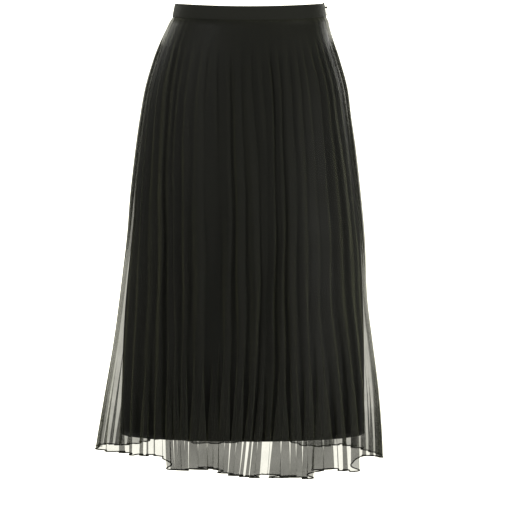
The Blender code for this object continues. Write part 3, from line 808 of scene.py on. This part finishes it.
# Each cloth's two colours, roughness, threads a metre, size of its unevenness, bump, sheen with its own
# roughness and tint, and on sheer cloth the share of light it holds back, with that share's unevenness
Cloth = namedtuple("Cloth", "name dark light roughness threads uneven bump "
                            "sheen sheen_roughness tint cover cover_range")
CHIFFON = Cloth("sheer black chiffon", (0.013, 0.0132, 0.0118), (0.024, 0.0244, 0.0212), 0.78, 1500.0,
                700.0, 0.25, 0.20, 0.50, (0.80, 0.84, 0.34, 1.0), 0.54, 0.16)
ROLLED = Cloth("rolled chiffon hem", (0.008, 0.008, 0.007), (0.016, 0.016, 0.014), 0.75, 900.0, 600.0,
               0.5, 0.08, 0.5, (0.80, 0.82, 0.62, 1.0), 0.93, 0.08)
SATIN = Cloth("black slip satin", (0.006, 0.006, 0.006), (0.010, 0.010, 0.009), 0.48, 1800.0, 300.0,
              0.2, 0.04, 0.4, (0.85, 0.85, 0.75, 1.0), None, 0.0)
BAND_CREPE = Cloth("black band crepe", (0.013, 0.0132, 0.0108), (0.022, 0.0224, 0.0180), 0.82, 1300.0,
                   900.0, 0.35, 0.10, 0.5, (0.80, 0.82, 0.62, 1.0), None, 0.0)
ZIP_TAPE = Cloth("black zip tape", (0.009, 0.009, 0.009), (0.015, 0.015, 0.015), 0.75, 900.0, 500.0,
                 0.5, 0.04, 0.5, (0.8, 0.8, 0.8, 1.0), None, 0.0)
THREAD = Cloth("black thread", (0.010, 0.010, 0.010), (0.020, 0.020, 0.018), 0.6, 3000.0, 900.0,
               0.3, 0.10, 0.4, (0.8, 0.8, 0.8, 1.0), None, 0.0)


def cloth_material(cloth, weave):
    """The material of a cloth: uneven colour, woven bump, a soft sheen and, on sheer cloth, its cover."""
    made = bpy.data.materials.new(cloth.name)
    made.use_nodes = True
    tree = made.node_tree
    shader = tree.nodes["Principled BSDF"]
    threads = tree.nodes.new("ShaderNodeGroup")
    threads.node_tree = weave
    threads.inputs["Threads per metre"].default_value = cloth.threads
    threads.inputs["Uneven size"].default_value = cloth.uneven
    colour = tree.nodes.new("ShaderNodeMix")
    colour.data_type = "RGBA"
    colour.inputs["A"].default_value = (*cloth.dark, 1.0)
    colour.inputs["B"].default_value = (*cloth.light, 1.0)
    mixed = math_node(tree, "MULTIPLY_ADD", threads.outputs["Uneven"], 0.5,
                      math_node(tree, "MULTIPLY", threads.outputs["Drift"], 0.5))
    tree.links.new(mixed, colour.inputs["Factor"])
    tree.links.new(colour.outputs["Result"], shader.inputs["Base Color"])
    smoothest = cloth.roughness - CLOTH_ROUGHNESS_RANGE / 2
    rough = math_node(tree, "MULTIPLY_ADD", threads.outputs["Drift"], CLOTH_ROUGHNESS_RANGE, smoothest)
    tree.links.new(rough, shader.inputs["Roughness"])
    bump = tree.nodes.new("ShaderNodeBump")
    bump.inputs["Strength"].default_value = cloth.bump
    bump.inputs["Distance"].default_value = WEAVE_BUMP
    tree.links.new(threads.outputs["Height"], bump.inputs["Height"])
    tree.links.new(bump.outputs["Normal"], shader.inputs["Normal"])
    shader.inputs["Specular IOR Level"].default_value = CLOTH_GLOSS
    shader.inputs["Sheen Weight"].default_value = cloth.sheen
    shader.inputs["Sheen Roughness"].default_value = cloth.sheen_roughness
    shader.inputs["Sheen Tint"].default_value = cloth.tint
    if cloth.cover is not None:
        low = cloth.cover - cloth.cover_range
        cover = math_node(tree, "MULTIPLY_ADD", threads.outputs["Uneven"], cloth.cover_range, low)
        cover = math_node(tree, "MULTIPLY_ADD", threads.outputs["Drift"], cloth.cover_range, cover)
        tree.links.new(cover, shader.inputs["Alpha"])
    return made


def metal_material():
    """Dark lacquered metal with rubbed patches, for the slider and the pull."""
    made = bpy.data.materials.new("dark lacquered metal")
    made.use_nodes = True
    tree = made.node_tree
    shader = tree.nodes["Principled BSDF"]
    place = tree.nodes.new("ShaderNodeTexCoord")
    grain = tree.nodes.new("ShaderNodeTexNoise")
    grain.inputs["Scale"].default_value = METAL_GRAIN
    tree.links.new(place.outputs["Object"], grain.inputs["Vector"])
    colour = tree.nodes.new("ShaderNodeMix")
    colour.data_type = "RGBA"
    colour.inputs["A"].default_value = LACQUER
    colour.inputs["B"].default_value = RUBBED_METAL
    tree.links.new(grain.outputs[0], colour.inputs["Factor"])
    tree.links.new(colour.outputs["Result"], shader.inputs["Base Color"])
    smoothest, range_above = METAL_ROUGHNESS
    rough = math_node(tree, "MULTIPLY_ADD", grain.outputs[0], range_above, smoothest)
    tree.links.new(rough, shader.inputs["Roughness"])
    shader.inputs["Metallic"].default_value = METALLIC
    return made


def dress_with(piece, node, body=SKIRT_BODY):
    """Ride a piece on its body and hide the solid that it takes the place of, if any."""
    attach(piece, body)
    if node:
        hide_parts(node)


def pleated_panel(side, folds, first_angle, chiffon, rolled, thread):
    """A panel of pleated chiffon, the roll and thread along its hem, and a seam's flap at its first end."""
    rows = pleated_grid(folds, first_angle)
    panel = sheet_mesh(f"chiffon_{side}", rows, chiffon)
    dress_with(panel, f"skirt_{side}")
    roll = rolled_edge(f"hem_roll_{side}", rows[-1], rolled)
    winding = wound_thread(f"hem_thread_{side}", rows[-1], HEM_ROLL_RADIUS + THREAD_RADIUS, thread)
    toward = -1.0 if first_angle > 0 else 1.0
    flap_rows = []
    for row in rows:
        x, _, z = row[0]
        flap_rows.append([(x + toward * SEAM_FLAP * share, 0.0, z + SEAM_FLAP_RISE * share)
                          for share in SEAM_FLAP_STEPS])
    flap = sheet_mesh(f"seam_flap_{side}", flap_rows, chiffon)
    sewn = [roll, winding, flap]
    for piece in sewn:
        dress_with(piece, None)
    return panel, sewn


def lining_panel(side, first_angle, satin, thread):
    """A panel of the slip with its turned-up hem, and the stitches that hold the hem."""
    rows = lining_grid(first_angle)
    panel = sheet_mesh(f"slip_{side}", rows, satin)
    dress_with(panel, f"lining_{side}")
    edge = next(r for r, row in enumerate(rows) if row[0][2] < -LINING_HEM + LINING_TURN_UP)
    seen = [Vector(p) + Vector(away_from_axis(p)) * THREAD_RADIUS for p in rows[edge]]
    stitches = stitch_line(f"slip_hem_stitches_{side}", seen, away_from_axis, thread)
    dress_with(stitches, None)
    return panel, [stitches]


def zip_line():
    """The left seam's inner face from the band's top down to the zip's end: distance out and height."""
    wide = smooth_value(*SHAPES["skirt"]["left"], 0.0)
    line = []
    for height in ZIP_HEIGHTS_IN_BAND:
        line.append((wide - BAND_THICKNESS - BAND_FLARE * (height + BAND_HEIGHT / 2), height))
    top = under_band(math.pi / 2)
    drop = ZIP_STEP
    while drop < ZIP_DROP:
        out = ring_point("lining", math.pi / 2, drop)[0] - SLIP_SET_IN
        line.append((out, -(top + (LINING_HEM - top) * drop / LINING_DROP)))
        drop += ZIP_STEP
    return line


def zip_bend(y, height):
    """How far the inner face falls back from its middle at a distance y along the seam's curve."""
    wide, deep = reach("lining", math.pi / 2 + math.copysign(0.01, y), max(-height, 0.0))
    return y * y / (2 * deep * deep / wide)


def zip_tape_half(side, toward, tape, thread):
    """One tape of the zip, its coil of loops and the two lines of stitches that hold it."""
    line = zip_line()
    rows = []
    for x, z in line:
        row = []
        for y in TAPE_COLUMNS:
            row.append((x - TAPE_GAP - zip_bend(y, z), toward * y, z))
        rows.append(row)
    strip = sheet_mesh(f"zip_tape_{side}", rows, tape)
    dress_with(strip, "side_zip")
    builder = bmesh.new()
    near, far = COIL_REACH
    middle, half = toward * (near + far) / 2, (far - near) / 2
    loops = []
    seam = [(x, 0.0, z) for x, z in line]
    for number, (point, _) in enumerate(walk(seam, COIL_PITCH / COIL_STEPS)):
        turn = 2 * math.pi * (number / COIL_STEPS + (0.5 if toward > 0 else 0.0))
        loops.append((point[0] - TAPE_GAP - COIL_STAND_OFF - COIL_HALF_DEPTH * (1 + math.sin(turn)),
                      middle + half * math.cos(turn), point[2]))
    add_thread(builder, loops, COIL_RADIUS, STITCH_SIDES)
    coil = finished_piece(f"zip_coil_{side}", builder, tape)
    sewn = [coil]
    for offset in TAPE_STITCHES_AT:
        stand = TAPE_GAP + TAPE_STITCH_STAND
        path = [(x - stand - zip_bend(offset, z), toward * offset, z) for x, z in line]
        name = f"zip_stitches_{side}_{round(offset / MM)}"
        sewn.append(stitch_line(name, path, lambda point: (-1.0, 0.0, 0.0), thread))
    for piece in sewn:
        dress_with(piece, None)
    return strip, sewn


def add_block(builder, low, high, edge):
    """Add a block between two corners, with its edges rounded off by a width."""
    corners = [builder.verts.new((x, y, z)) for x in (low[0], high[0]) for y in (low[1], high[1])
               for z in (low[2], high[2])]
    sides = ((0, 1, 3, 2), (4, 6, 7, 5), (0, 4, 5, 1), (2, 3, 7, 6), (0, 2, 6, 4), (1, 5, 7, 3))
    made = [builder.faces.new([corners[i] for i in side]) for side in sides]
    edges = list({e for f in made for e in f.edges})
    bmesh.ops.bevel(builder, geom=edges, offset=edge, segments=BLOCK_EDGE_STEPS, profile=0.5, affect="EDGES")


def band_outside(height):
    """How far out the band's outer face lies at the left seam."""
    line = smooth_value(*SHAPES["skirt"]["left"], 0.0)
    return line + BAND_STANDS_OUT - BAND_FLARE * (height + BAND_HEIGHT / 2)


def pin_place():
    """Where the middle of the pull's pin lies: the joint's point."""
    return band_outside(SLIDER_BOTTOM) + SEAM_GAP + PIN_STAND_OFF, 0.0, PIN_HEIGHT


def zip_slider(metal):
    """The slider with rounded edges: body inside, neck through the closure, lugs and pin outside."""
    outside = band_outside(SLIDER_BOTTOM) + SEAM_GAP
    wide = smooth_value(*SHAPES["skirt"]["left"], 0.0)
    inside = wide - BAND_THICKNESS - BAND_FLARE * (SLIDER_TOP + BAND_HEIGHT / 2) - TAPE_GAP
    low, high = PIN_HEIGHT - HEAD_RISE, PIN_HEIGHT + HEAD_RISE
    lug_end = pin_place()[0] + LUG_PAST_PIN
    builder = bmesh.new()
    for wing_end in (inside, inside - SLIDER_DEPTH + WING_THICKNESS):
        add_block(builder, (wing_end - WING_THICKNESS, -SLIDER_HALF, SLIDER_BOTTOM),
                  (wing_end, SLIDER_HALF, SLIDER_TOP), WING_EDGE)
    add_block(builder, (inside - SLIDER_DEPTH + WING_THICKNESS / 2, -CORE_HALF, SLIDER_BOTTOM + CORE_RISE),
              (inside - WING_THICKNESS / 2, CORE_HALF, SLIDER_TOP), CORE_EDGE)
    add_block(builder, (inside - NECK_OVERLAP, -NECK_HALF, low),
              (outside + NECK_OVERLAP, NECK_HALF, high), NECK_EDGE)
    add_block(builder, (outside, -HEAD_HALF, low), (outside + HEAD_DEPTH, HEAD_HALF, high), HEAD_EDGE)
    for near in (-HEAD_HALF, HEAD_HALF - LUG_THICKNESS):
        add_block(builder, (outside + LUG_OVERLAP, near, low),
                  (lug_end, near + LUG_THICKNESS, high), LUG_EDGE)
    pin = [(pin_place()[0], y, PIN_HEIGHT) for y in (-HEAD_HALF, -PIN_WAIST, PIN_WAIST, HEAD_HALF)]
    add_thread(builder, pin, PIN_RADIUS, PIN_SIDES)
    slider = finished_piece("dressed_slider", builder, metal)
    dress_with(slider, "zip_slider")


def zip_pull(metal):
    """The pull: an eye round the pin and a flat tab with a raised rim, hanging from it."""
    builder = bmesh.new()
    rings = []
    for radius, share in EYE_SECTION:
        turns = [2 * math.pi * k / EYE_SEGMENTS for k in range(EYE_SEGMENTS)]
        rings.append([builder.verts.new((radius * math.sin(turn), EYE_HALF * share, radius * math.cos(turn)))
                      for turn in turns])
    for a, b in zip(rings, rings[1:] + rings[:1]):
        join_loops(builder, a, b)
    outline = [(y * MM, z * MM) for y, z in PULL_OUTLINE]
    outline += [(-y, z) for y, z in reversed(outline)]
    middle = sum(z for _, z in outline) / len(outline) - PULL_MIDDLE_DROP
    rims = []
    for face in (-1, 1):
        loops = []
        for share, thick in PULL_STEPS:
            loops.append([builder.verts.new((face * thick * PULL_THICKNESS, y * share,
                                             middle + (z - middle) * share)) for y, z in outline])
        for a, b in zip(loops, loops[1:]):
            join_loops(builder, a, b)
        builder.faces.new(loops[-1])
        rims.append(loops[0])
    join_loops(builder, *rims)
    bmesh.ops.rotate(builder, verts=builder.verts, matrix=Matrix.Rotation(math.radians(-PULL_LEAN), 3, "Y"))
    bmesh.ops.translate(builder, verts=builder.verts, vec=pin_place())
    bmesh.ops.recalc_face_normals(builder, faces=builder.faces)
    pull = finished_piece("dressed_pull", builder, metal)
    dress_with(pull, "zip_pull", PULL_BODY)


def band_grid(first_angle):
    """Half of the band as one strip of cloth folded over its top edge, a little puckered at the seam."""
    front = first_angle < 0
    rows = []
    for out, height in BAND_STRIP:
        row = []
        for step in range(BAND_STEPS + 1):
            t = step / BAND_STEPS
            angle = first_angle + math.pi * t
            wide, deep = reach("skirt", angle, 0.0)
            from_closure = math.degrees(angle) - 90.0
            lift = 0.0
            if not front and from_closure < CLOSURE_STEP_ANGLE and height > 0:
                lift = CLOSURE_STEP * math.cos(math.radians(90.0 * from_closure / CLOSURE_STEP_ANGLE)) ** 2
            low = max(0.0, -height * MM / (BAND_HEIGHT / 2))
            pucker = PUCKER * low * math.sin(PUCKER_WAVES * math.pi * t)
            pucker += BAND_WAVE * math.sin(BAND_WAVES * math.pi * t + 0.6)
            stand = out * MM - BAND_FLARE * (height * MM + BAND_HEIGHT / 2) + min(pucker, PUCKER_LIMIT)
            x, y = (wide + stand) * math.sin(angle), -(deep + stand) * math.cos(angle)
            left_end = step == (BAND_STEPS if front else 0)
            if step in (0, BAND_STEPS):
                gap = CLOSURE_GAP / 2 if left_end else SEAM_GAP / 2
                y = -gap if front else gap
            row.append((x, y, height * MM + lift - waist_dip(angle)))
        rows.append(row)
    return rows


def band_half(side, first_angle, crepe):
    """The front or back half of the band."""
    strip = sheet_mesh(f"band_{side}", band_grid(first_angle), crepe, flip=True)
    dress_with(strip, f"waistband_{side}")
    return strip


def add_floor():
    """A plain pale floor, well under the hem."""
    builder = bmesh.new()
    bmesh.ops.create_circle(builder, cap_ends=True, segments=FLOOR_SEGMENTS, radius=FLOOR_RADIUS)
    pale = bpy.data.materials.new("pale floor")
    pale.use_nodes = True
    tree = pale.node_tree
    shader = tree.nodes["Principled BSDF"]
    grain = tree.nodes.new("ShaderNodeTexNoise")
    grain.inputs["Scale"].default_value = FLOOR_GRAIN
    colour = tree.nodes.new("ShaderNodeMix")
    colour.data_type = "RGBA"
    colour.inputs["A"].default_value = FLOOR_DARK
    colour.inputs["B"].default_value = FLOOR_LIGHT
    tree.links.new(grain.outputs[0], colour.inputs["Factor"])
    tree.links.new(colour.outputs["Result"], shader.inputs["Base Color"])
    shader.inputs["Roughness"].default_value = FLOOR_ROUGHNESS
    floor = finished_piece("floor", builder, pale)
    floor.location = (0.0, 0.0, FLOOR_LEVEL)


def add_light():
    """A white studio: an over-bright background for the camera, soft light all round and soft lamps."""
    world = bpy.data.worlds.new("studio")
    bpy.context.scene.world = world
    world.use_nodes = True
    tree = world.node_tree
    tree.nodes.clear()
    out = tree.nodes.new("ShaderNodeOutputWorld")
    seen = tree.nodes.new("ShaderNodeBackground")
    seen.inputs["Color"].default_value = BACKGROUND_COLOUR
    seen.inputs["Strength"].default_value = BACKGROUND
    around = tree.nodes.new("ShaderNodeBackground")
    around.inputs["Strength"].default_value = AMBIENT
    ray = tree.nodes.new("ShaderNodeLightPath")
    choose = tree.nodes.new("ShaderNodeMixShader")
    tree.links.new(ray.outputs["Is Camera Ray"], choose.inputs[0])
    tree.links.new(around.outputs[0], choose.inputs[1])
    tree.links.new(seen.outputs[0], choose.inputs[2])
    tree.links.new(choose.outputs[0], out.inputs["Surface"])
    for lamp in LAMPS:
        light = bpy.data.lights.new(lamp.name, "AREA")
        light.shape = "DISK"
        light.size = lamp.size
        light.energy = lamp.watts
        light.color = LAMP_COLOUR
        holder = bpy.data.objects.new(lamp.name, light)
        holder.location = lamp.place
        holder.rotation_euler = (Vector(lamp.aim) - Vector(lamp.place)).to_track_quat("-Z", "Y").to_euler()
        bpy.context.collection.objects.link(holder)
    bpy.context.scene.view_settings.view_transform = "Standard"


def dress_skirt():
    """Make every piece."""
    weave = woven_group()
    chiffon = cloth_material(CHIFFON, weave)
    rolled = cloth_material(ROLLED, weave)
    satin = cloth_material(SATIN, weave)
    crepe = cloth_material(BAND_CREPE, weave)
    tape = cloth_material(ZIP_TAPE, weave)
    thread = cloth_material(THREAD, weave)
    metal = metal_material()
    right_seam, left_seam = -math.pi / 2, math.pi / 2
    slips = []
    halves = (("front", FRONT_FOLDS, right_seam, 0.57), ("back", back_folds(), left_seam, 0.54))
    for side, folds, first_angle, chiffon_area in halves:
        panel, sewn = pleated_panel(side, folds, first_angle, chiffon, rolled, thread)
        slip, slip_sewn = lining_panel(side, first_angle, satin, thread)
        band = band_half(side, first_angle, crepe)
        slips.append(slip)
    for side, toward, slip in (("front", -1.0, slips[0]), ("back", 1.0, slips[1])):
        strip, strip_sewn = zip_tape_half(side, toward, tape, thread)
    zip_slider(metal)
    zip_pull(metal)


add_camera()
add_light()
add_floor()
dress_skirt()
